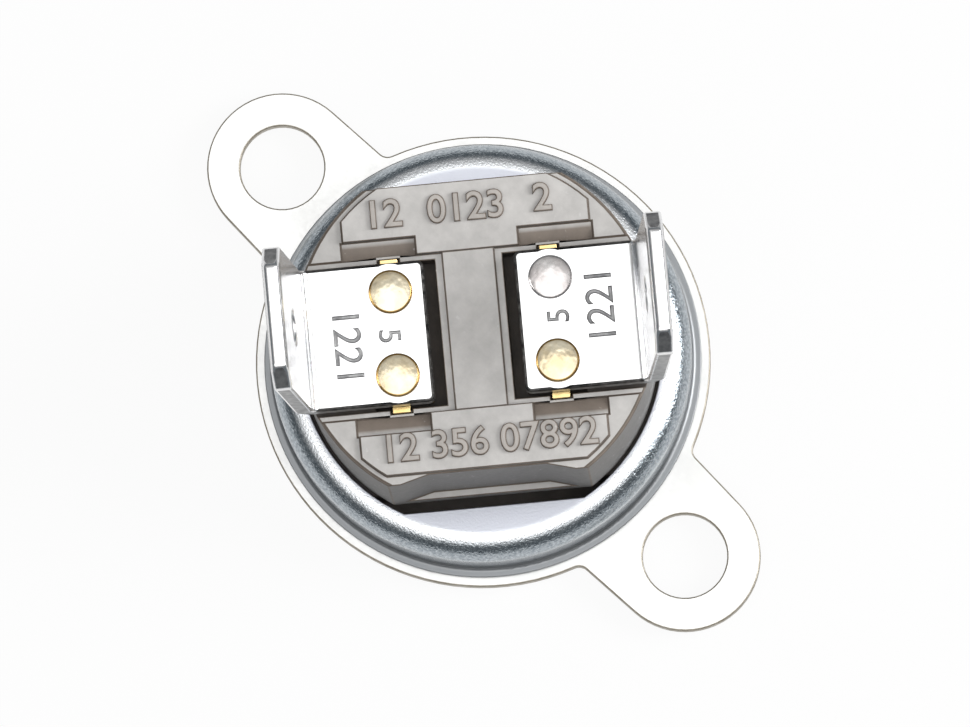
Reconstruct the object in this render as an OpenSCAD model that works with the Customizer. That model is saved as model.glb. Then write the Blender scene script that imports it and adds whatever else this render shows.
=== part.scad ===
// Bimetal disc thermostat: a snap-action switch in a drawn metal shell on a two-ear flange.
// Z runs up the axis, X runs through both flange holes, and the origin is the centre
// of the sensing face. U and V are X and Y turned by the terminal angle: the two tabs
// stand on the U axis and the flats of the base lie across the V axis.

/* [Mounting flange] */
// Distance between the two flange holes
hole_spacing = 25.4; // [25:0.1:30]
// Diameter of each flange hole
hole_d = 3.8; // [3:0.1:4.4]
// Radius of the round end of each ear
ear_r = 3.4; // [3:0.1:4]
// Thickness of the flange plate
flange_t = 0.6; // [0.4:0.05:1]
// Width of the flange's ring past the brim of the shell
ring_margin = 0.4; // [0.2:0.05:0.8]
// Angle by which each side of an ear widens towards the ring
ear_flare = 2.5; // [0.5:0.5:5]
// Radius of the inside corner between an ear and the ring
ear_fillet = 0.5; // [0.2:0.1:1]
// Angle from the line of the flange holes to the line of the tabs
terminal_angle = 49.5; // [0:0.5:90]

/* [Sensing cup] */
// Outer radius of the wall of the cup
cup_r = 7.7; // [7.2:0.1:8]
// Sheet thickness of the cup
cup_t = 0.35; // [0.25:0.05:0.4]
// Distance that the sensing face stands below the flange
cup_drop = 0.6; // [0.4:0.05:1]
// Width of the ledge that the disc rests on
ledge_w = 0.9; // [0.7:0.05:1.2]
// Height of the ledge above the floor of the cup
ledge_h = 0.3; // [0.28:0.02:0.4]
// Gap between the cup and the bore of the flange
cup_gap = 0.1; // [0.05:0.01:0.2]

/* [Snap disc and pin] */
// Thickness of the bimetal disc
disc_t = 0.25; // [0.15:0.01:0.3]
// Depth of the dish of the disc
disc_dish = 0.24; // [0.15:0.01:0.25]
// Gap between the edge of the disc and the wall of the cup
disc_gap = 0.25; // [0.1:0.05:0.3]
// Diameter of the transfer pin
pin_d = 1.8; // [1.2:0.1:2.4]
// Radial gap between the pin and its guide
pin_gap = 0.05; // [0.02:0.01:0.1]
// Free play at each end of the pin while the contacts are closed
pin_play = 0.03; // [0.02:0.01:0.06]
// Thickness of the guide plate
guide_t = 0.6; // [0.4:0.05:1]
// Height of the boss that guides the pin above the plate
guide_boss_h = 2.2; // [1:0.1:2.6]

/* [Metal shell] */
// Sheet thickness of the shell
shell_t = 0.35; // [0.25:0.05:0.5]
// Gap between the skirt of the base and the wall of the shell
shell_gap = 0.1; // [0.05:0.01:0.2]
// Outer radius of the rounded shoulder
shoulder_r = 1.2; // [1:0.1:1.6]
// Width of the brim that rests on the flange
brim_w = 0.4; // [0.2:0.05:0.7]
// Thickness of the brim
brim_t = 0.3; // [0.2:0.05:0.4]
// Radius of the inside corner between the brim and the wall
brim_fillet = 0.2; // [0.1:0.02:0.3]
// Gap between the opening and the round sides of the base
opening_gap = 0.15; // [0.08:0.01:0.3]
// Gap between the opening and the flats of the base
flat_gap = 0.43; // [0.2:0.01:0.6]
// Drop of the coined lip along the two straight sides of the opening
lip_drop = 0.05; // [0.02:0.01:0.2]

/* [Switch base] */
// Radius of the body of the base
base_r = 8; // [7.8:0.05:8.1]
// Distance of each flat from the axis
flat_v = 6.65; // [6.4:0.05:6.9]
// Width of the skirt past the body
skirt_w = 1; // [0.9:0.05:1.3]
// Height of the skirt
skirt_h = 2.3; // [2:0.1:3]
// Height of the skirt beside each flat, where it is cut back
skirt_low_h = 0.6; // [0.4:0.1:1]
// Height of the outer shelf above the skirt
shelf_h = 6.75; // [6:0.05:8]
// Height of the two lands above the shelf
land_h = 0.25; // [0.15:0.05:0.4]
// Half length of each land along the tabs
land_u = 5.5; // [5:0.1:5.8]
// Gap from the rounded side of each land to the edge of the body
land_inset = 0.35; // [0.1:0.05:0.6]
// Gap from the straight side of the notched land to the flat
land_setback = 0.43; // [0.34:0.01:0.5]
// Distance from the axis to the inner edge of each land
land_v = 3.55; // [3.4:0.05:3.7]
// Drop from the lands to the bar between the pockets
bar_drop = 0.08; // [0.04:0.02:0.2]
// Half width of the bar between the pockets
bar_u = 1.15; // [1:0.01:1.3]
// Width of the lip between the bar and each pocket
pocket_lip = 0.35; // [0.2:0.01:0.4]
// Width of the lip along the two sides of each pocket
pocket_side_lip = 0.28; // [0.2:0.01:0.3]
// Drop from the bar to the lip
lip_step = 0.24; // [0.1:0.01:0.3]
// Depth of the pocket floor below the lands
pocket_depth = 0.65; // [0.6:0.05:0.9]
// Distance from the axis to the outer edge of each ramp
ramp_v = 4.35; // [4.1:0.05:4.6]
// Distance from the axis to the inner end of each ramp along the tabs
ramp_u = 2.28; // [2:0.05:2.6]
// Height of the step at the outer edge of each ramp
ramp_step = 0.3; // [0.26:0.02:0.4]
// Depth of the foot of each ramp below the lip beside the pocket
ramp_dip = 0.2; // [0.05:0.01:0.3]
// Width of the flatter part at the top of each ramp
ramp_crest = 0.3; // [0.1:0.05:0.5]
// Drop of that part
ramp_crest_drop = 0.03; // [0.01:0.01:0.06]
// Depth of the groove round the seat of each strip
moat_depth = 0.7; // [0.3:0.05:0.8]
// Depth of the relief at the foot of each flat
relief_depth = 0.5; // [0.2:0.05:0.6]
// Height of that relief above the shell
relief_h = 0.12; // [0.05:0.01:0.3]
// Depth of the notch in the flat of one land
notch_depth = 0.35; // [0.1:0.01:0.4]
// Half width of the floor of the notch
notch_floor_u = 2.6; // [2:0.1:3]
// Half width of the notch at the flat
notch_flat_u = 3.9; // [3.2:0.1:4.1]
// Height of the sill of the notch above the skirt
notch_sill_h = 1.15; // [0.8:0.05:2]
// Thickness of the walls round the switch chamber
chamber_wall = 1.4; // [1.2:0.05:1.6]
// Thickness of the roof over the switch chamber
roof_t = 1.2; // [1:0.05:1.4]

/* [Tabs] */
// Width of each tab
tab_w = 6.35; // [6:0.05:6.4]
// Thickness of each tab
tab_t = 0.81; // [0.6:0.01:0.9]
// Height of the tip of each tab above its foot
tab_h = 8.6; // [7:0.1:10]
// Distance from the axis to the inner end of each foot
foot_u = 2; // [1.85:0.01:2.1]
// Distance from the axis to the inner face of each tab at its root
tab_u = 7.45; // [7.1:0.05:7.6]
// Inner radius of the bend
tab_bend_r = 0.4; // [0.3:0.05:0.6]
// Angle by which each tab leans outwards
tab_lean = 4; // [1:0.5:5]
// Size of the corner chamfers at the tip
tip_chamfer = 0.95; // [0.5:0.05:1.2]
// Size of the bevels along the tip
tip_bevel = 0.14; // [0.05:0.01:0.25]
// Diameter of the locking hole in each tab
lock_hole_d = 1.6; // [1.4:0.1:1.8]
// Distance from the tip to the locking hole
lock_hole_drop = 4; // [3.5:0.1:4.5]

/* [Rivets] */
// Distance from the axis to the rivets along the tabs
rivet_u = 3.55; // [3.4:0.05:3.7]
// Distance from the axis to the rivets across the tabs
rivet_v = 1.87; // [1.75:0.01:1.95]
// Diameter of the rivet's shank
rivet_d = 1.3; // [1:0.05:1.5]
// Diameter of the rivet's heads
rivet_head_d = 1.96; // [1.7:0.02:2.1]
// Height of the rivet's heads
rivet_head_h = 0.26; // [0.2:0.02:0.36]
// Diameter of the ring pressed into the foot round each rivet
rivet_ring_d = 2.5; // [2.3:0.05:2.6]
// Depth of that ring
rivet_ring_depth = 0.03; // [0.03:0.01:0.1]

/* [Contacts] */
// Thickness of the brass strips under the feet
strip_t = 0.5; // [0.4:0.05:0.6]
// Width of the legs of the strips
leg_w = 3; // [2.4:0.1:3.2]
// Distance from the axis to the outer face of each leg
leg_u = 5.5; // [5.3:0.05:5.6]
// Inner radius of the bends in the strips
strip_bend_r = 0.3; // [0.2:0.05:0.4]
// Width of the tab ends that show beside the feet
strip_tab_w = 0.8; // [0.5:0.05:1.2]
// Distance from the axis to those tab ends
strip_tab_v = 3.46; // [3.3:0.02:3.48]
// Height of the contact arm's underside above the skirt
arm_h = 2.95; // [2.7:0.05:3.2]
// Thickness of the contact arm
arm_t = 0.2; // [0.15:0.01:0.25]
// Distance from the axis to the root where the arm bends
arm_root_u = 3.4; // [3.2:0.05:3.6]
// Distance from the axis to the contacts
contact_u = 3.3; // [3.1:0.05:3.3]
// Diameter of the contact buttons
contact_d = 2.5; // [2:0.1:2.6]
// Thickness of the contact buttons
contact_t = 0.5; // [0.3:0.05:0.6]
// Diameter of the shanks of the contacts
contact_shank_d = 1; // [0.8:0.05:1.2]

/* [Hidden] */
$fn = 96;

// Extra length of a cutting solid past the face that it cuts
cut = 1;

// Radii, from the base outwards
skirt_r = base_r + skirt_w;
shell_in_r = skirt_r + shell_gap;
shell_r = shell_in_r + shell_t;
brim_r = shell_r + brim_w;
ring_r = brim_r + ring_margin;
shoulder_c = shell_r - shoulder_r;
cup_in_r = cup_r - cup_t;
face_r = cup_r - ledge_w;
disc_r = cup_in_r - disc_gap;
chamber_r = base_r - chamber_wall;
chamber_v = flat_v - chamber_wall;
land_r = base_r - land_inset;
lip_v = flat_v + flat_gap;
opening_r = base_r + opening_gap;

// Heights, from the sensing face upwards
flange_z = cup_drop;
flange_top = flange_z + flange_t;
guide_z = flange_top + cup_t;
base_z = guide_z + guide_t;
skirt_top = base_z + skirt_h;
shell_top = skirt_top + shell_t;
shelf_z = skirt_top + shelf_h;
land_z = shelf_z + land_h;
bar_z = land_z - bar_drop;
pocket_z = land_z - pocket_depth;
foot_z = pocket_z + strip_t;
foot_top = foot_z + tab_t;
chamber_top = pocket_z - roof_t;
arm_z = skirt_top + arm_h;
sill_z = skirt_top + notch_sill_h;

// Disc: it rests on the inner edge of the ledge, and its centre hangs lower by the dish
ledge_z = ledge_h + cup_t;
ledge_in_r = face_r - cup_t;
disc_rest = 0.02;
disc_sphere_r = (disc_r * disc_r + disc_dish * disc_dish) / (2 * disc_dish);
disc_under_r = disc_sphere_r + disc_t;
disc_rise = disc_under_r - sqrt(disc_under_r * disc_under_r - ledge_in_r * ledge_in_r);
disc_centre_top = ledge_z + disc_rest - disc_rise + disc_t;
disc_edge_top = disc_centre_top + disc_dish;
disc_fn = 2400;

// Guide: a lip under the plate keeps the disc in its seat
guide_lip_w = 0.8;
guide_lip_gap = 0.1;
guide_lip_z = disc_edge_top + guide_lip_gap;
guide_boss_wall = 1;

// Pin: a chamfered foot and a domed head, with free play at the disc and at the arm
pin_z = disc_centre_top + pin_play;
pin_top = arm_z - pin_play;
pin_chamfer = 0.25;
pin_dome_r = 0.65 * pin_d;

// Ear outline: unit normal and direction of one side, and the fillet that meets the ring
ear_x = hole_spacing / 2;
ear_n = [sin(ear_flare), cos(ear_flare)];
ear_along = [cos(ear_flare), -sin(ear_flare)];
ear_k = ear_x * sin(ear_flare) + ear_r;
ear_tangent = [ear_x, 0] + ear_r * ear_n;
fillet_ring_r = ring_r + ear_fillet;
fillet_k = ear_k + ear_fillet;
fillet_c = fillet_k * ear_n + sqrt(fillet_ring_r * fillet_ring_r - fillet_k * fillet_k) * ear_along;

// Base: chamfer at the top of the skirt and at the edge of the shelf
skirt_chamfer = shoulder_r - shell_t;
shelf_chamfer = 0.1;
pocket_u = bar_u + pocket_lip;
pocket_v = land_v - pocket_side_lip;
lip_z = bar_z - lip_step;
relief_z = shell_top + relief_h;
ramp_past = 0.1;
notch_flare = (notch_flat_u - notch_floor_u) / notch_depth;
rivet_well_gap = 0.15;
rivet_well_depth = rivet_head_h + rivet_well_gap;
leg_gap = 0.1;
strip_tab_gap = 0.08;
seat_inset = 0.1;

// Tab: the bend turns about its own centre, and the blade leans from there
bend_u = tab_u - tab_bend_r;
bend_z = foot_top + tab_bend_r;
bend_out = tab_bend_r + tab_t;
tab_mid_r = tab_bend_r + tab_t / 2;
blade_l = (tab_h - tab_bend_r + tab_mid_r * sin(tab_lean)) / cos(tab_lean);
foot_round = 0.3;

// Strips: the plate under each foot, and the two tongues in the chamber
plate_inset = 0.08;
plate_v = tab_w / 2 - plate_inset;
plate_u = foot_u + plate_inset;
strip_bend_out = strip_bend_r + strip_t;
leg_bend_u = leg_u - strip_bend_out;
arm_tongue_z = arm_z + arm_t;
fixed_tongue_z = arm_z - 2 * contact_t - strip_t;
tongue_margin = 0.2;
contact_upset_h = 0.2;
contact_upset_d = 1.6;

// Contact arm: narrow waist between the root and the round end
arm_rim = 0.15;
arm_end_r = contact_d / 2 + arm_rim;
arm_waist = 2.2;

// Turns the pieces of the switch to the line of the tabs
module at_terminals() {
    rotate(terminal_angle) children();
}

// Puts a profile drawn in U and Z upright and gives it a width along V
module across(width) {
    rotate([90, 0, 0]) linear_extrude(width, center = true) children();
}

// Box that is centred on V = 0 and reaches from u0 to u1 and from z0 to z1
module span_box(u0, u1, v, z0, z1) {
    translate([u0, -v, z0]) cube([u1 - u0, 2 * v, z1 - z0]);
}

// Quarter of a flat ring about the origin, in the upper or the lower outer quadrant
module quarter_bend(r_in, r_out, upper) {
    intersection() {
        difference() {
            circle(r = r_out);
            circle(r = r_in);
        }
        translate([0, upper ? 0 : -r_out]) square(r_out);
    }
}

// Half of one ear: its tangent side and the fillet into the ring
module ear_outline() {
    polygon([[0, 0], [ear_x, 0], ear_tangent, [0, ear_k / cos(ear_flare)]]);
    difference() {
        polygon([
            [0, 0],
            fillet_c - ear_fillet * ear_n,
            fillet_c,
            fillet_c * ring_r / fillet_ring_r
        ]);
        translate(fillet_c) circle(r = ear_fillet);
    }
}

module mounting_flange() {
    color("gainsboro")
    translate([0, 0, flange_z])
    linear_extrude(flange_t)
    difference() {
        union() {
            circle(r = ring_r);
            for (side = [0, 180]) {
                rotate(side) translate([ear_x, 0]) circle(r = ear_r);
                rotate(side) ear_outline();
                rotate(side) mirror([0, 1]) ear_outline();
            }
        }
        circle(r = cup_r + cup_gap);
        for (side = [0, 180]) rotate(side) translate([ear_x, 0]) circle(d = hole_d);
    }
}

module sensing_cup() {
    color("silver")
    rotate_extrude()
    polygon([
        [0, 0],
        [face_r, 0],
        [face_r, ledge_h],
        [cup_r, ledge_h],
        [cup_r, flange_top],
        [skirt_r, flange_top],
        [skirt_r, guide_z],
        [cup_in_r, guide_z],
        [cup_in_r, ledge_z],
        [ledge_in_r, ledge_z],
        [ledge_in_r, cup_t],
        [0, cup_t]
    ]);
}

module snap_disc() {
    color("darkgray")
    rotate_extrude()
    intersection() {
        translate([0, disc_centre_top + disc_sphere_r])
        difference() {
            circle(r = disc_under_r, $fn = disc_fn);
            circle(r = disc_sphere_r, $fn = disc_fn);
        }
        square([disc_r, guide_z]);
    }
}

module pin_guide() {
    hole_r = pin_d / 2 + pin_gap;
    color("saddlebrown")
    difference() {
        union() {
            translate([0, 0, guide_z]) cylinder(r = skirt_r, h = guide_t);
            translate([0, 0, guide_lip_z]) cylinder(r = disc_r, h = base_z - guide_lip_z);
            translate([0, 0, guide_z]) cylinder(r = hole_r + guide_boss_wall, h = guide_t + guide_boss_h);
        }
        cylinder(r = disc_r - guide_lip_w, h = guide_z);
        cylinder(r = hole_r, h = base_z + guide_boss_h + cut);
    }
}

module transfer_pin() {
    r = pin_d / 2;
    dome_z = pin_top - pin_dome_r;
    color("ivory")
    rotate_extrude() {
        polygon([
            [0, pin_z],
            [r - pin_chamfer, pin_z],
            [r, pin_z + pin_chamfer],
            [r, dome_z],
            [0, dome_z]
        ]);
        intersection() {
            translate([0, dome_z]) circle(r = pin_dome_r);
            translate([0, dome_z]) square([r, pin_dome_r]);
        }
    }
}

// Half section of the shell's outer form, or of its inner form when inset by its sheet
module shell_section(inset) {
    shoulder = shoulder_r - inset;
    shoulder_z = shell_top - inset - shoulder;
    translate([0, flange_top]) square([shell_r - inset, shoulder_z - flange_top]);
    translate([0, flange_top]) square([shoulder_c, shell_top - inset - flange_top]);
    translate([shoulder_c, shoulder_z])
    intersection() {
        circle(r = shoulder);
        square(shoulder);
    }
}

module metal_shell() {
    color("lightsteelblue")
    at_terminals()
    difference() {
        rotate_extrude()
        difference() {
            union() {
                shell_section(0);
                translate([0, flange_top]) square([brim_r, brim_t]);
                difference() {
                    translate([shell_in_r, flange_top]) square([shell_t + brim_fillet, brim_t + brim_fillet]);
                    translate([shell_r + brim_fillet, flange_top + brim_t + brim_fillet])
                    circle(r = brim_fillet);
                }
            }
            shell_section(shell_t);
            polygon([
                [opening_r, shell_top],
                [lip_v, shell_top - lip_drop],
                [0, shell_top - lip_drop],
                [0, shell_top + cut],
                [opening_r, shell_top + cut]
            ]);
        }
        intersection() {
            cylinder(r = opening_r, h = shell_top + cut);
            span_box(-shell_r, shell_r, lip_v, 0, shell_top + cut);
        }
    }
}

// Raised lands, before the pockets and the bar are cut into them
module base_lands() {
    intersection() {
        translate([0, 0, shelf_z - cut]) cylinder(r = land_r, h = land_h + cut);
        translate([-land_u, land_setback - flat_v, shelf_z - cut])
        cube([2 * land_u, 2 * flat_v, land_h + cut]);
    }
}

// Round body with a chamfered top edge and its lands, cut by the two flats
module base_body() {
    intersection() {
        union() {
            translate([0, 0, base_z]) cylinder(r = base_r, h = shelf_z - shelf_chamfer - base_z);
            translate([0, 0, shelf_z - shelf_chamfer])
            cylinder(r1 = base_r, r2 = base_r - shelf_chamfer, h = shelf_chamfer);
            base_lands();
        }
        span_box(-base_r, base_r, flat_v, base_z, land_z);
    }
}

// Skirt under the shoulder of the shell, cut back beside the flats
module base_skirt() {
    translate([0, 0, base_z]) cylinder(r = skirt_r, h = skirt_low_h);
    intersection() {
        union() {
            translate([0, 0, base_z]) cylinder(r = skirt_r, h = skirt_h - skirt_chamfer);
            translate([0, 0, skirt_top - skirt_chamfer])
            cylinder(r1 = skirt_r, r2 = skirt_r - skirt_chamfer, h = skirt_chamfer);
        }
        span_box(-skirt_r, skirt_r, flat_v, base_z, skirt_top);
    }
}

// Ramp in one land, from its step down to the lip beside the pocket
module ramp_cut() {
    translate([ramp_u, 0, 0])
    rotate([90, 0, 90])
    linear_extrude(land_u - ramp_u + ramp_past)
    polygon([
        [land_v, lip_z - ramp_dip],
        [ramp_v - ramp_crest, land_z - ramp_step - ramp_crest_drop],
        [ramp_v, land_z - ramp_step],
        [ramp_v, land_z + cut],
        [land_v, land_z + cut]
    ]);
}

// Groove round the seat of one strip
module moat_cut() {
    difference() {
        span_box(pocket_u, leg_bend_u, pocket_v, pocket_z - moat_depth, pocket_z + cut);
        span_box(plate_u + seat_inset, base_r, plate_v - seat_inset, chamber_top, pocket_z + 2 * cut);
    }
}

// Pocket for one foot, with its lip, the ramps beside it, the slot for the leg and the rivet wells
module pocket_cut() {
    tab_half = strip_tab_w / 2 + strip_tab_gap;
    span_box(bar_u, base_r + cut, land_v, lip_z, land_z + cut);
    span_box(pocket_u, base_r + cut, pocket_v, pocket_z, land_z + cut);
    span_box(rivet_u - tab_half, rivet_u + tab_half, strip_tab_v + strip_tab_gap, pocket_z, land_z);
    for (side = [0, 1]) mirror([0, side, 0]) ramp_cut();
    moat_cut();
    span_box(leg_bend_u - leg_gap, leg_u + leg_gap, leg_w / 2 + leg_gap, chamber_top - cut, pocket_z + cut);
    for (side = [-1, 1]) {
        translate([rivet_u, side * rivet_v, pocket_z - rivet_well_depth])
        cylinder(d = rivet_head_d + 2 * rivet_well_gap, h = rivet_well_depth + cut);
    }
}

// Relief at the foot of one flat, where the lip of the shell comes near
module relief_cut() {
    translate([-base_r, -flat_v - cut, base_z + skirt_low_h])
    cube([2 * base_r, cut + relief_depth, relief_z - base_z - skirt_low_h]);
}

// Shallow notch in the flat of one land, with ends that slant out to the flat
module notch_cut() {
    mouth_u = notch_flat_u + notch_flare * cut;
    translate([0, -flat_v, sill_z])
    linear_extrude(land_z - sill_z + cut)
    polygon([
        [-notch_floor_u, notch_depth],
        [notch_floor_u, notch_depth],
        [mouth_u, -cut],
        [-mouth_u, -cut]
    ]);
}

module switch_base() {
    color("rosybrown")
    at_terminals()
    difference() {
        union() {
            base_skirt();
            base_body();
        }
        span_box(-base_r, base_r, land_v, bar_z, land_z + cut);
        for (side = [0, 180]) {
            rotate(side) pocket_cut();
            rotate(side) relief_cut();
        }
        notch_cut();
        intersection() {
            translate([0, 0, base_z - cut]) cylinder(r = chamber_r, h = chamber_top - base_z + cut);
            span_box(-base_r, base_r, chamber_v, base_z - cut, chamber_top);
        }
    }
}

// Bent profile of one tab: foot, bend and leaning blade
module tab_profile() {
    translate([foot_u, foot_z]) square([bend_u - foot_u, tab_t]);
    translate([bend_u, bend_z]) {
        intersection() {
            difference() {
                circle(r = bend_out);
                circle(r = tab_bend_r);
            }
            polygon([
                [0, 0],
                [0, -2 * bend_out],
                [2 * bend_out, -2 * bend_out],
                2 * bend_out * [cos(tab_lean), -sin(tab_lean)]
            ]);
        }
        rotate(-tab_lean) translate([tab_bend_r, 0]) square([tab_t, blade_l]);
    }
}

// Cuts at the tip of one tab: two corner chamfers, two bevels and the locking hole
module tip_cut() {
    half = tab_w / 2;
    translate([bend_u, 0, bend_z])
    rotate([0, tab_lean, 0]) {
        for (side = [0, 1]) {
            mirror([0, side, 0])
            translate([0, 0, blade_l])
            rotate([90, 0, 90])
            linear_extrude(bend_out + cut)
            polygon([
                [half - tip_chamfer, 0],
                [half, -tip_chamfer],
                [half + cut, -tip_chamfer],
                [half + cut, cut],
                [half - tip_chamfer, cut]
            ]);
        }
        across(tab_w + 2 * cut) {
            polygon([
                [tab_bend_r, blade_l - 2 * tip_bevel],
                [tab_bend_r + tip_bevel, blade_l],
                [tab_bend_r, blade_l + cut],
                [tab_bend_r - cut, blade_l]
            ]);
            polygon([
                [bend_out, blade_l - 2 * tip_bevel],
                [bend_out - tip_bevel, blade_l],
                [bend_out, blade_l + cut],
                [bend_out + cut, blade_l]
            ]);
        }
        translate([0, 0, blade_l - lock_hole_drop])
        rotate([0, 90, 0])
        cylinder(d = lock_hole_d, h = bend_out + cut);
    }
}

// Rounds one corner at the inner end of a foot
module foot_corner_cut() {
    translate([foot_u, tab_w / 2, foot_z - cut])
    linear_extrude(tab_t + 2 * cut)
    difference() {
        translate([-cut, -foot_round]) square([cut + foot_round, cut + foot_round]);
        translate([foot_round, -foot_round]) circle(r = foot_round);
    }
}

// One tab on the positive side of the U axis
module terminal() {
    difference() {
        across(tab_w) tab_profile();
        tip_cut();
        for (side = [-1, 1]) {
            translate([rivet_u, side * rivet_v, foot_z - cut]) cylinder(d = rivet_d, h = tab_t + 2 * cut);
            translate([rivet_u, side * rivet_v, foot_top - rivet_ring_depth])
            difference() {
                cylinder(d = rivet_ring_d, h = cut);
                translate([0, 0, -cut]) cylinder(d = rivet_head_d, h = 3 * cut);
            }
        }
        for (side = [0, 1]) mirror([0, side, 0]) foot_corner_cut();
    }
}

module left_terminal() {
    color("white") at_terminals() rotate(180) terminal();
}

module right_terminal() {
    color("white") at_terminals() terminal();
}

// Half section of one rivet: flat lower head, shank and domed upper head
module rivet_section() {
    head_r = rivet_head_d / 2;
    dome_r = (head_r * head_r + rivet_head_h * rivet_head_h) / (2 * rivet_head_h);
    translate([0, pocket_z - rivet_head_h]) square([head_r, rivet_head_h]);
    translate([0, pocket_z - rivet_head_h / 2]) square([rivet_d / 2, foot_top - pocket_z + rivet_head_h]);
    intersection() {
        translate([0, foot_top + rivet_head_h - dome_r]) circle(r = dome_r);
        translate([0, foot_top]) square([head_r, rivet_head_h]);
    }
}

module rivet_pair() {
    for (side = [-1, 1]) {
        translate([rivet_u, side * rivet_v, 0]) rotate_extrude() rivet_section();
    }
}

module left_rivets() {
    color("gold") at_terminals() rotate(180) rivet_pair();
}

module right_rivets() {
    color("gold") at_terminals() rivet_pair();
}

// Leg and tongue of one strip, bent down through the roof and back towards the axis
module leg_profile(tongue_z, tongue_u) {
    upper_z = pocket_z - strip_bend_r;
    lower_z = tongue_z + strip_bend_out;
    translate([leg_bend_u, upper_z]) quarter_bend(strip_bend_r, strip_bend_out, true);
    translate([leg_u - strip_t, lower_z]) square([strip_t, upper_z - lower_z]);
    translate([leg_bend_u, lower_z]) quarter_bend(strip_bend_r, strip_bend_out, false);
    translate([tongue_u, tongue_z]) square([leg_bend_u - tongue_u, strip_t]);
}

// One brass strip on the positive side of the U axis
module carrier(tongue_z, tongue_u, contact_hole) {
    difference() {
        union() {
            span_box(plate_u, leg_bend_u, plate_v, pocket_z, foot_z);
            span_box(rivet_u - strip_tab_w / 2, rivet_u + strip_tab_w / 2, strip_tab_v, pocket_z, foot_z);
            across(leg_w) leg_profile(tongue_z, tongue_u);
        }
        for (side = [-1, 1]) {
            translate([rivet_u, side * rivet_v, pocket_z - cut])
            cylinder(d = rivet_d, h = strip_t + 2 * cut);
        }
        if (contact_hole) {
            translate([contact_u, 0, tongue_z - cut]) cylinder(d = contact_shank_d, h = strip_t + 2 * cut);
        }
    }
}

module left_carrier() {
    color("goldenrod")
    at_terminals()
    rotate(180)
    carrier(fixed_tongue_z, contact_u - contact_d / 2 - tongue_margin, true);
}

module right_carrier() {
    color("goldenrod") at_terminals() carrier(arm_tongue_z, arm_root_u, false);
}

// Riveted contact: the button, the shank between two heights and the upset end
module contact_button(button_z, shank_from, shank_to, upset_z) {
    translate([-contact_u, 0, button_z]) cylinder(d = contact_d, h = contact_t);
    translate([-contact_u, 0, shank_from]) cylinder(d = contact_shank_d, h = shank_to - shank_from);
    translate([-contact_u, 0, upset_z]) cylinder(d = contact_upset_d, h = contact_upset_h);
}

module fixed_contact() {
    button_z = fixed_tongue_z + strip_t;
    upset_z = fixed_tongue_z - contact_upset_h;
    color("whitesmoke") at_terminals() contact_button(button_z, upset_z, button_z, upset_z);
}

module contact_arm() {
    color("peru")
    at_terminals()
    translate([0, 0, arm_z])
    linear_extrude(arm_t)
    difference() {
        union() {
            polygon([
                [leg_bend_u, leg_w / 2],
                [arm_root_u, leg_w / 2],
                [0, arm_waist / 2],
                [-contact_u, arm_waist / 2],
                [-contact_u, -arm_waist / 2],
                [0, -arm_waist / 2],
                [arm_root_u, -leg_w / 2],
                [leg_bend_u, -leg_w / 2]
            ]);
            translate([-contact_u, 0]) circle(r = arm_end_r);
        }
        translate([-contact_u, 0]) circle(d = contact_shank_d);
    }
}

module moving_contact() {
    button_z = arm_z - contact_t;
    upset_z = arm_z + arm_t;
    color("whitesmoke") at_terminals() contact_button(button_z, arm_z, upset_z, upset_z);
}

mounting_flange();
sensing_cup();
snap_disc();
pin_guide();
transfer_pin();
metal_shell();
switch_base();
left_terminal();
right_terminal();
left_rivets();
right_rivets();
left_carrier();
right_carrier();
fixed_contact();
contact_arm();
moving_contact();
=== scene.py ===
import math

import bmesh
import bpy
from mathutils import Matrix, Vector


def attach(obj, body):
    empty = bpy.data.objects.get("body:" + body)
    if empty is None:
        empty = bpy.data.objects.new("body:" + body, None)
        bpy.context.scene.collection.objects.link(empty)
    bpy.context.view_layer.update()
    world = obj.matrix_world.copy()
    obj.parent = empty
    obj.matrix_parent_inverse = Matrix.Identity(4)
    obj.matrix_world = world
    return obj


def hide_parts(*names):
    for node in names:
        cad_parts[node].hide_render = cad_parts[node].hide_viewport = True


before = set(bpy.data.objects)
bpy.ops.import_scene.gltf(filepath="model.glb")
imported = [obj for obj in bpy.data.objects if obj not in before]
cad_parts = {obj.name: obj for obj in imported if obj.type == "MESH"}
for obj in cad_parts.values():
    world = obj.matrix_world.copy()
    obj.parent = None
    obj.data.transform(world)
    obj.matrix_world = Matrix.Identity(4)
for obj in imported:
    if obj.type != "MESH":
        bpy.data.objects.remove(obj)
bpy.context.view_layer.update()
print("frame loaded:", len(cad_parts), "nodes")

mm = 0.001
weld = 0.001  # corners closer than this, in mm, are one

# the tabs stand on the U axis, which is turned from the flange holes
layout = {"turn": 49.5, "landTop": 11.45, "footTop": 12.11, "rivetU": 3.55, "rivetV": 1.87}
turned = Matrix.Rotation(math.radians(layout["turn"]), 4, "Z")


# small helpers for the finishes


def newMaterial(name):
    material = bpy.data.materials.new(name)
    material.use_nodes = True
    return material, material.node_tree, material.node_tree.nodes["Principled BSDF"]


def addNode(tree, kind, **values):
    node = tree.nodes.new(kind)
    for key, value in values.items():
        if hasattr(node, key):
            setattr(node, key, value)
        else:
            node.inputs[key.replace("_", " ")].default_value = value
    return node


def place(tree):
    return addNode(tree, "ShaderNodeTexCoord").outputs["Object"]


def noise(tree, scale, detail=3.0, rough=0.55, stretch=None):
    tex = addNode(tree, "ShaderNodeTexNoise", Scale=scale, Detail=detail, Roughness=rough)
    spot = place(tree)
    if stretch:
        mapping = addNode(tree, "ShaderNodeMapping")
        mapping.inputs["Scale"].default_value = stretch
        tree.links.new(spot, mapping.inputs["Vector"])
        spot = mapping.outputs["Vector"]
    tree.links.new(spot, tex.inputs["Vector"])
    return tex.outputs["Fac"]


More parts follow.
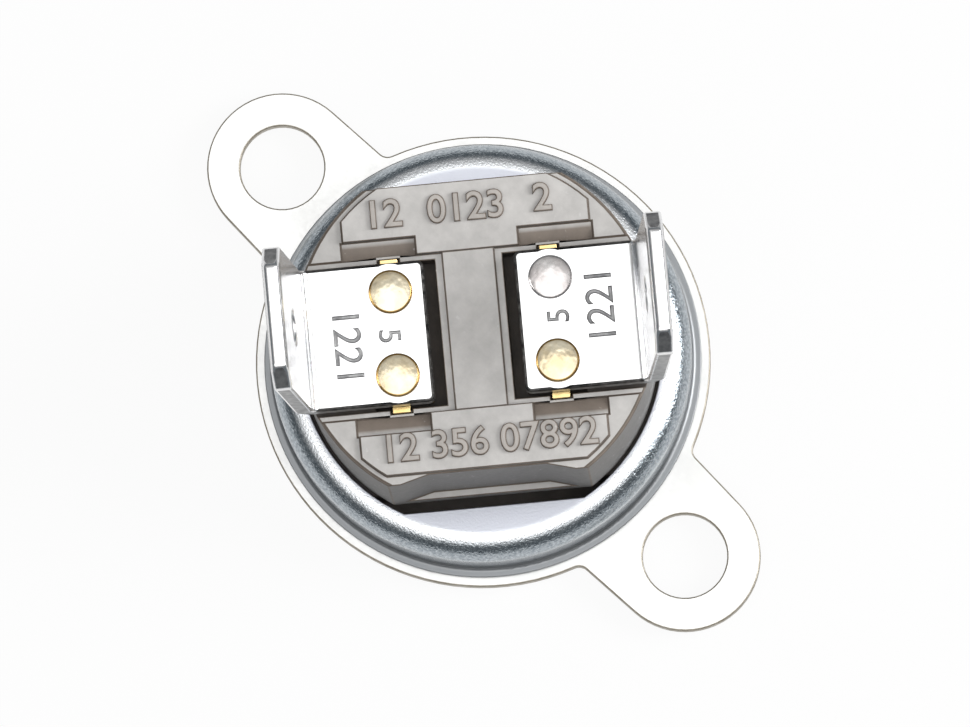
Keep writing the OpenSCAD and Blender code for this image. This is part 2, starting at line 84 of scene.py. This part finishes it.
def ramp(tree, factor, stops):
    node = addNode(tree, "ShaderNodeValToRGB")
    cells = node.color_ramp.elements
    while len(cells) < len(stops):
        cells.new(0.5)
    for cell, (at, colour) in zip(cells, stops):
        cell.position = at
        cell.color = (*colour, 1) if isinstance(colour, tuple) else (colour, colour, colour, 1)
    tree.links.new(factor, node.inputs["Fac"])
    return node.outputs["Color"]


def spread(tree, factor, low, high, start=0.0):
    # takes start..1 to low..high
    node = addNode(tree, "ShaderNodeMapRange", From_Min=start, To_Min=low, To_Max=high)
    tree.links.new(factor, node.inputs["Value"])
    return node.outputs["Result"]


def feed(tree, socket, value):
    # a link where the value comes from a node, and a plain setting otherwise
    if isinstance(value, bpy.types.NodeSocket):
        tree.links.new(value, socket)
    else:
        socket.default_value = (*value, 1) if isinstance(value, tuple) else value


def blendColour(tree, factor, a, b, mode="MIX"):
    node = addNode(tree, "ShaderNodeMix", data_type="RGBA", blend_type=mode)
    for socket, value in ((0, factor), (6, a), (7, b)):
        feed(tree, node.inputs[socket], value)
    return node.outputs[2]


def blendValue(tree, factor, a, b):
    node = addNode(tree, "ShaderNodeMix", data_type="FLOAT")
    for socket, value in ((0, factor), (2, a), (3, b)):
        feed(tree, node.inputs[socket], value)
    return node.outputs[0]


def fromAxis(tree):
    # distance from the axis of the part, in metres
    flat = addNode(tree, "ShaderNodeVectorMath", operation="MULTIPLY")
    flat.inputs[1].default_value = (1, 1, 0)
    tree.links.new(place(tree), flat.inputs[0])
    length = addNode(tree, "ShaderNodeVectorMath", operation="LENGTH")
    tree.links.new(flat.outputs["Vector"], length.inputs[0])
    return length.outputs["Value"]


def aboveFloor(tree):
    # height above the sensing face, in metres
    split = addNode(tree, "ShaderNodeSeparateXYZ")
    tree.links.new(place(tree), split.inputs["Vector"])
    return split.outputs["Z"]


def stepDown(tree, value, start, end):
    # 1 up to start, then falling to 0 at end
    node = addNode(tree, "ShaderNodeMapRange", interpolation_type="SMOOTHSTEP",
                   From_Min=start, From_Max=end, To_Min=1.0, To_Max=0.0)
    tree.links.new(value, node.inputs["Value"])
    return node.outputs["Result"]


def bumpFrom(tree, shader, height, depth):
    node = addNode(tree, "ShaderNodeBump", Strength=1.0, Distance=depth)
    tree.links.new(height, node.inputs["Height"])
    tree.links.new(node.outputs["Normal"], shader.inputs["Normal"])


# sheet metal, each finish beside its values

cloudStops = (0.3, 0.7)  # where a cloud turns from its dark to its light tone


def clouded(tree, cloud, dark, light):
    return ramp(tree, cloud, [(cloudStops[0], dark), (cloudStops[1], light)])


def platedSheet(name, look):
    material, tree, shader = newMaterial(name)
    shader.inputs["Metallic"].default_value = 1.0
    colour = clouded(tree, noise(tree, look["cloudScale"], detail=4.0), look["dark"], look["light"])
    fine = noise(tree, look["grainScale"], detail=2.0, rough=0.6, stretch=look.get("stretch"))
    rough = spread(tree, fine, *look["rough"])
    for zone in look.get("finishAndPaintedLightZones", []):
        # inside a radius or below a height the sheet has another roughness and grain, and a colour that
        # paints light or shade onto it
        reach = fromAxis(tree) if "radius" in zone else aboveFloor(tree)
        edge = zone.get("radius", zone.get("height"))
        inner = stepDown(tree, reach, edge * mm, (edge + zone["fade"]) * mm)
        colour = blendColour(tree, inner, colour, zone["colour"])
        rough = blendValue(tree, inner, rough, zone["rough"])
        calmer = blendValue(tree, zone["grain"], 0.5, fine)  # 0.5 is the mean of the noise
        fine = blendValue(tree, inner, fine, calmer)
    tree.links.new(colour, shader.inputs["Base Color"])
    tree.links.new(rough, shader.inputs["Roughness"])
    bumpFrom(tree, shader, fine, look["grainDepth"] * mm)
    return material


flangeLook = {"light": (0.78, 0.78, 0.77), "dark": (0.68, 0.68, 0.67), "cloudScale": 420.0,
              "grainScale": 5200.0, "rough": (0.34, 0.46), "grainDepth": 0.003}
flangePlate = platedSheet("flangePlate", flangeLook)

# darker steel for the sides and rounded edges of the flange: duller sheared steel, and painted shade for the
# dark lines along its edges
cutEdgeAndEdgeShadeLook = {"light": (0.42, 0.39, 0.34), "dark": (0.28, 0.25, 0.2), "cloudScale": 1500.0,
               "grainScale": 5200.0, "rough": (0.4, 0.55), "grainDepth": 0.006}
cutEdgeAndEdgeShade = platedSheet("cutEdgeAndEdgeShade", cutEdgeAndEdgeShadeLook)

# heights and radii in mm of the bands, each one laid over those before it; their roughness and grain are the
# finish, and their colours paint light and shade into the steel
shellLook = {
    "light": (0.475, 0.512, 0.54), "dark": (0.255, 0.29, 0.318), "cloudScale": 7000.0,
    "grainScale": 10000.0, "rough": (0.12, 0.26), "grainDepth": 0.024,
    "finishAndPaintedLightZones": [
        {"height": 3.5, "fade": 0.5, "colour": (0.3, 0.33, 0.352), "rough": 0.2, "grain": 0.25},  # wall, painted darker as shade
        {"height": 1.75, "fade": 0.3, "colour": (0.29, 0.3, 0.31), "rough": 0.45, "grain": 0.2},  # brim, painted darker as shade
        {"radius": 8.62, "fade": 0.3, "colour": (0.74, 0.76, 0.78), "rough": 0.27, "grain": 1.0},  # crest, painted lighter as a highlight
        {"radius": 8.15, "fade": 0.2, "colour": (0.66, 0.68, 0.745), "rough": 0.5, "grain": 0.45},  # lip, painted pale blue as a reflection
    ],
}
shellPlate = platedSheet("shellPlate", shellLook)

tabLook = {"light": (0.82, 0.82, 0.82), "dark": (0.72, 0.72, 0.73), "cloudScale": 520.0,
           "grainScale": 3200.0, "rough": (0.16, 0.32), "grainDepth": 0.006, "stretch": (1, 1, 0.12)}
tabPlate = platedSheet("tabPlate", tabLook)

# darker metal for the cut sides of the tabs and the grounds of the stamped numerals: duller sheared metal
# and painted shade along the cut sides, painted shade in the stamped recesses
tabEdgeAndStampShadeLook = {"light": (0.36, 0.36, 0.36), "dark": (0.15, 0.15, 0.155), "cloudScale": 2200.0,
               "grainScale": 5200.0, "rough": (0.3, 0.5), "grainDepth": 0.01}
tabEdgeAndStampShade = platedSheet("tabEdgeAndStampShade", tabEdgeAndStampShadeLook)

# near-black metal on the rounded edges of the feet, painted shade for the dark lines along them
footEdgeShadeLook = {"light": (0.14, 0.135, 0.13), "dark": (0.02, 0.02, 0.02), "cloudScale": 3000.0,
            "grainScale": 5200.0, "rough": (0.4, 0.6), "grainDepth": 0.02}
footEdgeShade = platedSheet("footEdgeShade", footEdgeShadeLook)

brassLook = {"light": (0.86, 0.67, 0.34), "dark": (0.7, 0.5, 0.21), "cloudScale": 1100.0,
             "grainScale": 4000.0, "rough": (0.16, 0.3), "grainDepth": 0.006}
stripBrass = platedSheet("stripBrass", brassLook)

rivetLook = {"light": (0.76, 0.7, 0.55), "dark": (0.63, 0.52, 0.33), "cloudScale": 1000.0,
             "grainScale": 1500.0, "rough": (0.14, 0.3), "grainDepth": 0.05}
rivetBrass = platedSheet("rivetBrass", rivetLook)

# darker brass for the rounded rims of the rivets, painted shade for their darker reflections
rivetRimShadeLook = {"light": (0.6, 0.41, 0.16), "dark": (0.34, 0.19, 0.06), "cloudScale": 1300.0,
                "grainScale": 1500.0, "rough": (0.2, 0.35), "grainDepth": 0.02}
rivetRimShade = platedSheet("rivetRimShade", rivetRimShadeLook)

plainRivetLook = {"light": (0.72, 0.7, 0.69), "dark": (0.5, 0.46, 0.45), "cloudScale": 900.0,
                  "grainScale": 1500.0, "rough": (0.2, 0.34), "grainDepth": 0.04}
rivetPlain = platedSheet("rivetPlain", plainRivetLook)

cupLook = {"light": (0.8, 0.8, 0.81), "dark": (0.72, 0.72, 0.73), "cloudScale": 300.0,
           "grainScale": 4200.0, "rough": (0.28, 0.42), "grainDepth": 0.006}
cupSheet = platedSheet("cupSheet", cupLook)

discLook = {"light": (0.62, 0.60, 0.57), "dark": (0.50, 0.48, 0.45), "cloudScale": 500.0,
            "grainScale": 5200.0, "rough": (0.3, 0.46), "grainDepth": 0.004}
discMetal = platedSheet("discMetal", discLook)

silverLook = {"light": (0.92, 0.91, 0.89), "dark": (0.82, 0.80, 0.77), "cloudScale": 900.0,
              "grainScale": 5200.0, "rough": (0.18, 0.3), "grainDepth": 0.004}
contactSilver = platedSheet("contactSilver", silverLook)

bronzeLook = {"light": (0.78, 0.54, 0.34), "dark": (0.66, 0.43, 0.25), "cloudScale": 600.0,
              "grainScale": 5200.0, "rough": (0.24, 0.36), "grainDepth": 0.004}
armBronze = platedSheet("armBronze", bronzeLook)


# mouldings and ceramic


def mouldedPlastic(name, look):
    material, tree, shader = newMaterial(name)
    # painted light: the flat tops are painted greyer and lighter as sheen, the slopes browner and the walls
    # darker as painted shade
    facing = addNode(tree, "ShaderNodeSeparateXYZ")
    tree.links.new(addNode(tree, "ShaderNodeTexCoord").outputs["Normal"], facing.inputs["Vector"])
    tones = [look[tone] for tone in ("wall", "slope", "slope", "top")]
    colour = ramp(tree, facing.outputs["Z"], list(zip(look["tilts"], tones)))
    mottle = clouded(tree, noise(tree, look["mottleScale"], detail=5.0, rough=0.65), *look["mottle"])
    colour = blendColour(tree, 1.0, colour, mottle, "MULTIPLY")
    speck = ramp(tree, noise(tree, look["speckScale"], detail=2.0), look["speckStops"])
    colour = blendColour(tree, speck, colour, look["speck"])
    tree.links.new(colour, shader.inputs["Base Color"])
    fine = noise(tree, look["grainScale"])
    tree.links.new(spread(tree, fine, *look["rough"]), shader.inputs["Roughness"])
    bumpFrom(tree, shader, fine, look["grainDepth"] * mm)
    return material


# tilts: upward share of the normal at which wall, slope and top begin
# the top tone is painted sheen, and the slope and wall tones are painted shade
baseLook = {"top": (0.48, 0.466, 0.45), "slope": (0.19, 0.157, 0.13), "wall": (0.108, 0.102, 0.097),
            "tilts": (0.3, 0.6, 0.968, 0.996), "mottleScale": 900.0, "mottle": (0.86, 1.1),
            "speck": (0.62, 0.61, 0.6), "speckScale": 3400.0, "speckStops": [(0.68, 0.0), (0.78, 0.4)],
            "rough": (0.46, 0.62), "grainScale": 5200.0, "grainDepth": 0.01}
baseMoulding = mouldedPlastic("baseMoulding", baseLook)
# the raised numerals take the same painted sheen and shade, with darker tops
numeralMoulding = mouldedPlastic("numeralMoulding", dict(baseLook, top=(0.39, 0.362, 0.335)))

plainGrain = {"cloudScale": 900.0, "grainScale": 4200.0, "grainDepth": 0.01, "roughSpan": 0.08}


def plainMoulding(name, light, dark, rough):
    material, tree, shader = newMaterial(name)
    colour = clouded(tree, noise(tree, plainGrain["cloudScale"], detail=4.0), dark, light)
    tree.links.new(colour, shader.inputs["Base Color"])
    fine = noise(tree, plainGrain["grainScale"], detail=2.0)
    span = plainGrain["roughSpan"]
    tree.links.new(spread(tree, fine, rough - span, rough + span), shader.inputs["Roughness"])
    bumpFrom(tree, shader, fine, plainGrain["grainDepth"] * mm)
    return material


# dark brown on the rounded edges of the base and on the flanks of the numerals, painted shade in its steps
# and corners and round each numeral
baseEdgeShade = plainMoulding("baseEdgeShade", (0.15, 0.12, 0.097), (0.09, 0.072, 0.056), 0.6)
# near-black moulding, painted shade in the low gap round the base and in the pockets
basePaintedShade = plainMoulding("basePaintedShade", (0.06, 0.05, 0.043), (0.035, 0.03, 0.026), 0.7)
guideMoulding = plainMoulding("guideMoulding", (0.32, 0.22, 0.15), (0.25, 0.17, 0.12), 0.5)
pinCeramic = plainMoulding("pinCeramic", (0.88, 0.86, 0.8), (0.8, 0.78, 0.72), 0.4)
print("finishes made:", len(bpy.data.materials))


# helpers for the pieces, each of which is made on the solid that it stands for


def finishPiece(piece, body, slot, *materials):
    for material in materials:
        piece.data.materials.append(material)
    for face in piece.data.polygons:
        face.use_smooth = True
    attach(piece, body)


def addPiece(name, mesh):
    piece = bpy.data.objects.new(name, mesh)
    bpy.context.scene.collection.objects.link(piece)
    return piece


def meshFrom(bm, name):
    mesh = bpy.data.meshes.new(name)
    bm.to_mesh(mesh)
    bm.free()
    return mesh


def shownMesh(thing):
    # the mesh of a text or of a piece with its modifiers
    bpy.context.view_layer.update()
    return bpy.data.meshes.new_from_object(thing.evaluated_get(bpy.context.evaluated_depsgraph_get()))


def alongTabs(spot):
    # u, v and height in mm
    return turned.inverted() @ spot / mm


def putAt(at, z, spin=0.0):
    # place in mm, on the line of the tabs
    return turned @ Matrix.Translation((at[0], at[1], z)) @ Matrix.Rotation(math.radians(spin), 4, "Z")


def cornerNormals(bm, soft, sharp, roundAt=None, softLevel=0.6):
    # flat faces stay flat up to their broken edges, and curved ones stay smooth
    level = math.cos(math.radians(sharp))
    normals = []
    for face in bm.faces:
        alike = softLevel if face in soft else level
        for loop in face.loops:
            drawn = roundAt(loop.vert.co) if roundAt else None
            if drawn and drawn.dot(face.normal) > level:
                normals.append(drawn)
                continue
            near = [l for l in loop.vert.link_loops
                    if l.face not in soft and l.face.normal.dot(face.normal) > alike]
            total = Vector()
            for l in near or loop.vert.link_loops:
                # large faces count for more, so that they stay flat
                total += l.face.normal * l.calc_angle() * l.face.calc_area() / mm ** 2
            normals.append((total if total.length > 0.000001 else face.normal).normalized())
    return normals


def brokenEdges(node, name, width, segments=2, edgeMark=0, cutSide=None, keepSharp=None, source=None,
                sharp=28, roundAt=None):
    # the node's own solid with its sharp edges taken off
    # its edges and cut sides are marked for a second finish
    bm = bmesh.new()
    bm.from_mesh(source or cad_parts[node].data)
    bmesh.ops.remove_doubles(bm, verts=bm.verts, dist=weld * mm)
    for face in bm.faces:
        face.material_index = 1 if cutSide and cutSide(face.normal) else 0
    edges = [e for e in bm.edges if e.is_manifold and e.calc_face_angle(0) > math.radians(sharp)]
    if keepSharp:
        edges = [e for e in edges if not keepSharp((e.verts[0].co + e.verts[1].co) / 2)]
    made = bmesh.ops.bevel(bm, geom=edges, offset=width * mm, offset_type="OFFSET", segments=segments,
                           profile=0.5, affect="EDGES", clamp_overlap=False, loop_slide=False,
                           material=edgeMark)
    bmesh.ops.recalc_face_normals(bm, faces=bm.faces)
    normals = cornerNormals(bm, set(made["faces"]), sharp, roundAt)
    piece = addPiece(name, meshFrom(bm, name))
    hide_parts(node)
    for face in piece.data.polygons:
        face.use_smooth = True
    piece.data.normals_split_custom_set(normals)
    return piece


def numeralMesh(text, size, half, bevel, weight):
    curve = bpy.data.curves.new("numeral" + text, "FONT")
    curve.body = text
    curve.size = size  # drawn in mm, because very small outlines fill badly
    curve.align_x = "CENTER"
    curve.align_y = "CENTER"
    curve.extrude = half
    curve.bevel_depth = bevel
    curve.offset = weight
    curve.resolution_u = 6
    shown = addPiece("numeral" + text, curve)
    mesh = shownMesh(shown)
    bpy.data.objects.remove(shown)
    bm = bmesh.new()
    bm.from_mesh(mesh)
    bmesh.ops.remove_doubles(bm, verts=bm.verts, dist=weld / 2)
    bm.to_mesh(mesh)
    bm.free()
    return mesh


# flange

flangeShape = {"edge": 0.07}


def upright(normal):
    return abs(normal.z) < 0.5


# the sides and rounded edges of the flange take the darker cut-edge steel, which is partly painted shade
flangePiece = brokenEdges("mounting_flange", "flange", flangeShape["edge"], edgeMark=1, cutSide=upright)
finishPiece(flangePiece, "housing", "flange_steel", flangePlate, cutEdgeAndEdgeShade)


# shell, with the shoulder and the fillet at the brim as centre, radius, and 1 outward or -1 inward

shellShape = {"edge": 0.05, "sharp": 50, "plain": (8.22, 9.8), "slack": 0.02,
              "arcs": [((8.25, 3.6), 1.2, 1), ((9.65, 1.7), 0.2, -1)]}


def shellBody(spot):
    # only the rim of the brim and the opening have sharp edges
    inner, outer = shellShape["plain"]
    return inner * mm < math.hypot(spot.x, spot.y) < outer * mm


def shellRound(spot):
    # true direction of the rounded shoulder and of the fillet
    reach = math.hypot(spot.x, spot.y)
    for (r, z), radius, way in shellShape["arcs"]:
        out, up = reach / mm - r, spot.z / mm - z
        onArc = abs(math.hypot(out, up) - radius) < shellShape["slack"]
        if onArc and min(out * way, up * way) > -shellShape["slack"] / 2:
            return way * Vector((spot.x / reach * out, spot.y / reach * out, up)).normalized()
    return None


shellPiece = brokenEdges("metal_shell", "shell", shellShape["edge"], keepSharp=shellBody,
                         sharp=shellShape["sharp"], roundAt=shellRound)
finishPiece(shellPiece, "housing", "shell_steel", shellPlate)


# base

baseShape = {"edge": 0.05, "reliefTop": 5.0, "pocketU": 7.0, "pocketV": 3.4, "pocketTop": 11.0,
             "barU": 1.7, "barV": 3.7}
basePiece = brokenEdges("switch_base", "base", baseShape["edge"], edgeMark=1)
for face in basePiece.data.polygons:
    u, v, z = alongTabs(face.center)
    inPocket = abs(v) < baseShape["pocketV"] and z < baseShape["pocketTop"]
    if z < baseShape["reliefTop"] or (inPocket and (abs(u) < baseShape["pocketU"] or face.normal.z > 0.5)):
        face.material_index = 2  # painted shade: the low reliefs of the flats and the floors of the pockets are painted near black
    elif abs(u) < baseShape["barU"] and abs(v) < baseShape["barV"]:
        face.material_index = 0  # the bar and its lips keep the plain moulding on their edges, without the painted edge shade
finishPiece(basePiece, "housing", "base_plastic", baseMoulding, baseEdgeShade, basePaintedShade)


# tabs with stamped numerals, and the strips under them

tabShape = {"edge": 0.14, "segments": 3, "ringR": 1.45, "ringClear": 1.3, "flush": 0.02, "sunk": 0.002}
stampLook = {"depth": 0.06, "weight": -0.05, "fieldU": (2.6, 6.6), "fieldV": 2.9,
             "rows": [("1221", 1.75, (5.7, 0.4)), ("5", 1.4, (3.8, 0.1))]}
stripShape = {"edge": 0.05}
acrossTabs = turned @ Vector((0, 1, 0))


def shearedSide(normal):
    return abs(normal.dot(acrossTabs)) > 0.6


def fromRivet(u, v):
    return math.hypot(abs(u) - layout["rivetU"], abs(v) - layout["rivetV"])


def inStamp(u, v, z):
    inner, outer = stampLook["fieldU"]
    return (abs(v) < stampLook["fieldV"] and inner < abs(u) < outer
            and abs(z - layout["footTop"]) < tabShape["flush"] + stampLook["depth"])


def nearMarks(spot):
    # rivet rings and stamped numerals on the feet keep their sharp edges
    u, v, z = alongTabs(spot)
    return fromRivet(u, v) < tabShape["ringR"] or inStamp(u, v, z)


def stampedInto(node, mesh):
    # the node's solid less the numerals, cut in mm and brought back to scale
    tool = addPiece("stampTool", mesh)
    bm = bmesh.new()
    bm.from_mesh(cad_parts[node].data)
    bm.transform(Matrix.Scale(1 / mm, 4))
    bmesh.ops.remove_doubles(bm, verts=bm.verts, dist=weld)
    blank = addPiece("stampBlank", meshFrom(bm, "stampBlank"))
    press = blank.modifiers.new("press", "BOOLEAN")
    press.operation = "DIFFERENCE"
    press.solver = "EXACT"
    press.object = tool
    made = shownMesh(blank)
    made.transform(Matrix.Scale(mm, 4))
    for helper in (blank, tool):
        bpy.data.objects.remove(helper)
    return made


for side, half in (("left", math.pi), ("right", 0.0)):
    stamps = bmesh.new()
    for text, size, at in stampLook["rows"]:
        stamp = numeralMesh(text, size, 0.0, stampLook["depth"], stampLook["weight"])
        stamp.transform(Matrix.Rotation(half, 4, "Z") @ putAt(at, layout["footTop"], 90))
        stamps.from_mesh(stamp)
    pressed = stampedInto(side + "_terminal", meshFrom(stamps, "stamps"))
    tab = brokenEdges(side + "_terminal", side + "Tab", tabShape["edge"], tabShape["segments"], 2,
                      shearedSide, nearMarks, pressed)
    for face in tab.data.polygons:
        u, v, z = alongTabs(face.center)
        onFoot = z < layout["footTop"] + tabShape["flush"]
        if face.material_index == 2 and not onFoot:
            face.material_index = 0  # painted shade: the near-black rounded edges stay only round the foot
        below = z < layout["footTop"] - tabShape["sunk"]
        if below and inStamp(u, v, z) and fromRivet(u, v) > tabShape["ringClear"]:
            face.material_index = 1  # ground of the stamped numerals, painted dark as shade in the recesses
    finishPiece(tab, "housing", "tab_plating", tabPlate, tabEdgeAndStampShade, footEdgeShade)
    strip = brokenEdges(side + "_carrier", side + "Strip", stripShape["edge"])
    finishPiece(strip, "housing", "strip_brass", stripBrass)


# cup

cupShape = {"edge": 0.05}
finishPiece(brokenEdges("sensing_cup", "cup", cupShape["edge"]), "housing", "cup_aluminium", cupSheet)
print("sheet and moulded pieces made")


# rivets

rivetShape = {"headR": 0.98, "headH": 0.25, "lowerH": 0.26, "lowerRound": 0.06, "shankR": 0.65,
              "pocketZ": 10.8, "rim": 0.13, "rimSteps": 4, "rimTurn": 20, "domeSteps": 8, "turns": 64}


def rivetProfile(shape):
    # from the lower head up to the middle of the dome, and which of its steps are on the rim
    top, low, r, lowerRound = layout["footTop"], shape["pocketZ"], shape["headR"], shape["lowerRound"]
    bottom = low - shape["lowerH"]
    profile = [(0, bottom), (r - lowerRound, bottom), (r, bottom + lowerRound), (r, low),
               (shape["shankR"], low), (shape["shankR"], top), (r, top)]
    rimStart = len(profile) - 1
    inner = r - shape["rim"]
    for i in range(1, shape["rimSteps"] + 1):
        a = math.radians(shape["rimTurn"] * i)
        profile.append((inner + shape["rim"] * math.cos(a), top + shape["rim"] * math.sin(a)))
    footR, footZ = profile[-1]
    for i in range(1, shape["domeSteps"] + 1):
        share = i / shape["domeSteps"]
        rise = (top + shape["headH"] - footZ) * (1 - (1 - share) ** 2)
        profile.append((footR * (1 - share), footZ + rise))
    return profile, range(rimStart, rimStart + shape["rimSteps"])


def rivetMesh(bm, at, shape, slotIndex):
    profile, rimSteps = rivetProfile(shape)
    n = shape["turns"]
    rings = []
    for radius, z in profile:
        ring = []
        for k in range(n if radius else 1):
            a = 2 * math.pi * k / n
            u, v = at[0] + radius * math.cos(a), at[1] + radius * math.sin(a)
            ring.append(bm.verts.new(turned @ Vector((u * mm, v * mm, z * mm))))
        rings.append(ring)
    for step, (lower, upper) in enumerate(zip(rings, rings[1:])):
        for k in range(n):
            after = (k + 1) % n
            if len(lower) == 1:
                face = bm.faces.new((lower[0], upper[after], upper[k]))
            elif len(upper) == 1:
                face = bm.faces.new((lower[k], lower[after], upper[0]))
            else:
                face = bm.faces.new((lower[k], lower[after], upper[after], upper[k]))
            # the rounded rim is painted a darker brass, as shade for its darker reflections
            face.material_index = 2 if slotIndex == 0 and step in rimSteps else slotIndex


for side, sign in (("left", -1), ("right", 1)):
    bm = bmesh.new()
    for v in (1, -1):
        dull = 1 if sign > 0 and v > 0 else 0  # one rivet kept its plating
        rivetMesh(bm, (sign * layout["rivetU"], v * layout["rivetV"]), rivetShape, dull)
    bmesh.ops.recalc_face_normals(bm, faces=bm.faces)
    pair = addPiece(side + "RivetPair", meshFrom(bm, side + "RivetPair"))
    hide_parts(side + "_rivets")
    finishPiece(pair, "housing", "rivet_brass", rivetBrass, rivetPlain, rivetRimShade)
print("rivets made")


# raised numerals on the lands

numeralLook = {"rise": 0.13, "sink": 0.04, "round": 0.06, "size": 1.75, "weight": -0.01, "flank": 0.8,
               "rows": [("12", (-3.6, 5.4)), ("0123", (0.1, 5.4)), ("2", (3.5, 5.5)),
                        ("12 356 07892", (0.2, -5.1))]}
numeralHalf = (numeralLook["rise"] + numeralLook["sink"]) / 2
numeralMid = layout["landTop"] + numeralLook["rise"] - numeralHalf
for text, at in numeralLook["rows"]:
    mesh = numeralMesh(text, numeralLook["size"], numeralHalf, numeralLook["round"], numeralLook["weight"])
    mesh.transform(Matrix.Scale(mm, 4) @ putAt(at, numeralMid))
    for face in mesh.polygons:
        # the flanks of the numerals take the dark edge colour, painted shade round each one
        face.material_index = 1 if abs(face.normal.z) < numeralLook["flank"] else 0
    numeral = addPiece("numeral" + text.replace(" ", ""), mesh)
    finishPiece(numeral, "housing", "base_plastic", numeralMoulding, baseEdgeShade)
print("numerals made")


# inner pieces keep their solids

inside = {"snap_disc": discMetal, "pin_guide": guideMoulding, "transfer_pin": pinCeramic,
          "fixed_contact": contactSilver, "contact_arm": armBronze, "moving_contact": contactSilver}
for node, material in inside.items():
    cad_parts[node].data.materials.clear()
    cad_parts[node].data.materials.append(material)
print("inner pieces finished")


# floor, light and camera

stageLook = {"floorSize": 1.6, "floorDrop": 0.00001, "floorColour": 0.7, "floorRough": 0.9,
             "backShare": 0.92, "paperR": 0.08, "paperEnd": 0.22, "farFloor": 0.3}


def floorMaterial(look):
    # a pale sheet under the part on a darker table, shown as white to the camera, in metal and through glass
    material, tree, shader = newMaterial("paleFloor")
    sheet = stepDown(tree, fromAxis(tree), look["paperR"], look["paperEnd"])
    tone = spread(tree, sheet, look["farFloor"], 1.0)
    colour = blendColour(tree, 1.0, (look["floorColour"],) * 3, tone, "MULTIPLY")
    tree.links.new(colour, shader.inputs["Base Color"])
    shader.inputs["Roughness"].default_value = look["floorRough"]
    shader.inputs["Specular IOR Level"].default_value = 0.0
    glow = addNode(tree, "ShaderNodeEmission", Strength=1.0)
    tree.links.new(tone, glow.inputs["Color"])
    rays = addNode(tree, "ShaderNodeLightPath")
    seen = rays.outputs["Is Camera Ray"]
    for other in ("Is Glossy Ray", "Is Transmission Ray"):
        either = addNode(tree, "ShaderNodeMath", operation="MAXIMUM")
        tree.links.new(seen, either.inputs[0])
        tree.links.new(rays.outputs[other], either.inputs[1])
        seen = either.outputs["Value"]
    share = addNode(tree, "ShaderNodeMath", operation="MULTIPLY")
    share.inputs[1].default_value = look["backShare"]
    tree.links.new(seen, share.inputs[0])
    mix = addNode(tree, "ShaderNodeMixShader")
    tree.links.new(share.outputs["Value"], mix.inputs["Fac"])
    tree.links.new(shader.outputs["BSDF"], mix.inputs[1])
    tree.links.new(glow.outputs["Emission"], mix.inputs[2])
    tree.links.new(mix.outputs["Shader"], tree.nodes["Material Output"].inputs["Surface"])
    return material


bm = bmesh.new()
bmesh.ops.create_grid(bm, x_segments=8, y_segments=8, size=stageLook["floorSize"] / 2)
floor = addPiece("floor", meshFrom(bm, "floor"))
floor.location.z = -stageLook["floorDrop"]
floor.data.materials.append(floorMaterial(stageLook))

# from straight down at 0, over the horizon at 0.5, to straight up at 1
skyLook = {"stops": [(0.0, 0.2), (0.5, (0.14, 0.16, 0.175)), (0.66, (0.14, 0.16, 0.175)), (0.76, 0.25),
                     (0.84, 0.42), (0.9, 0.7), (1.0, 0.9)]}
world = bpy.data.worlds.new("tent")
bpy.context.scene.world = world
world.use_nodes = True
sky = world.node_tree
way = addNode(sky, "ShaderNodeSeparateXYZ")
sky.links.new(addNode(sky, "ShaderNodeTexCoord").outputs["Generated"], way.inputs["Vector"])
skyHeight = spread(sky, way.outputs["Z"], 0.0, 1.0, start=-1.0)
sky.links.new(ramp(sky, skyHeight, skyLook["stops"]), sky.nodes["Background"].inputs["Color"])

lampLook = {"aim": (0, 0, 0.008), "from": (0.19, 0.223, 0.199), "size": 0.2, "power": 0.95}
topLook = {"aim": (0, 0, 0.006), "from": (0.137, -0.117, 0.78), "size": 0.98, "power": 2.8}


def softLamp(name, look):
    light = bpy.data.lights.new(name, "AREA")
    light.shape = "DISK"
    light.size = look["size"]
    light.energy = look["power"]
    lamp = addPiece(name, light)
    lamp.location = look["from"]
    lamp.rotation_euler = (Vector(look["aim"]) - Vector(look["from"])).to_track_quat("-Z", "Y").to_euler()


softLamp("sideLamp", lampLook)
softLamp("topLamp", topLook)

cameraLook = {"place": (0.0750142, -0.0459061, 0.5935196), "aim": (-0.0000069, 0.0000743, 0.0000066),
              "right": (0.71431419, 0.69889103, -0.03614635), "lens": 493.4, "sensor": 36, "clipEnd": 10}
camera = addPiece("camera", bpy.data.cameras.new("camera"))
back = (Vector(cameraLook["place"]) - Vector(cameraLook["aim"])).normalized()
across = Vector(cameraLook["right"])
across = (across - across.dot(back) * back).normalized()
above = back.cross(across)
camera.matrix_world = Matrix((across, above, back)).transposed().to_4x4()
camera.location = cameraLook["place"]
camera.data.lens = cameraLook["lens"]
camera.data.sensor_width = cameraLook["sensor"]
camera.data.clip_end = cameraLook["clipEnd"]
bpy.context.scene.camera = camera
bpy.context.scene.view_settings.view_transform = "Standard"
print("stage, lamps and camera set")
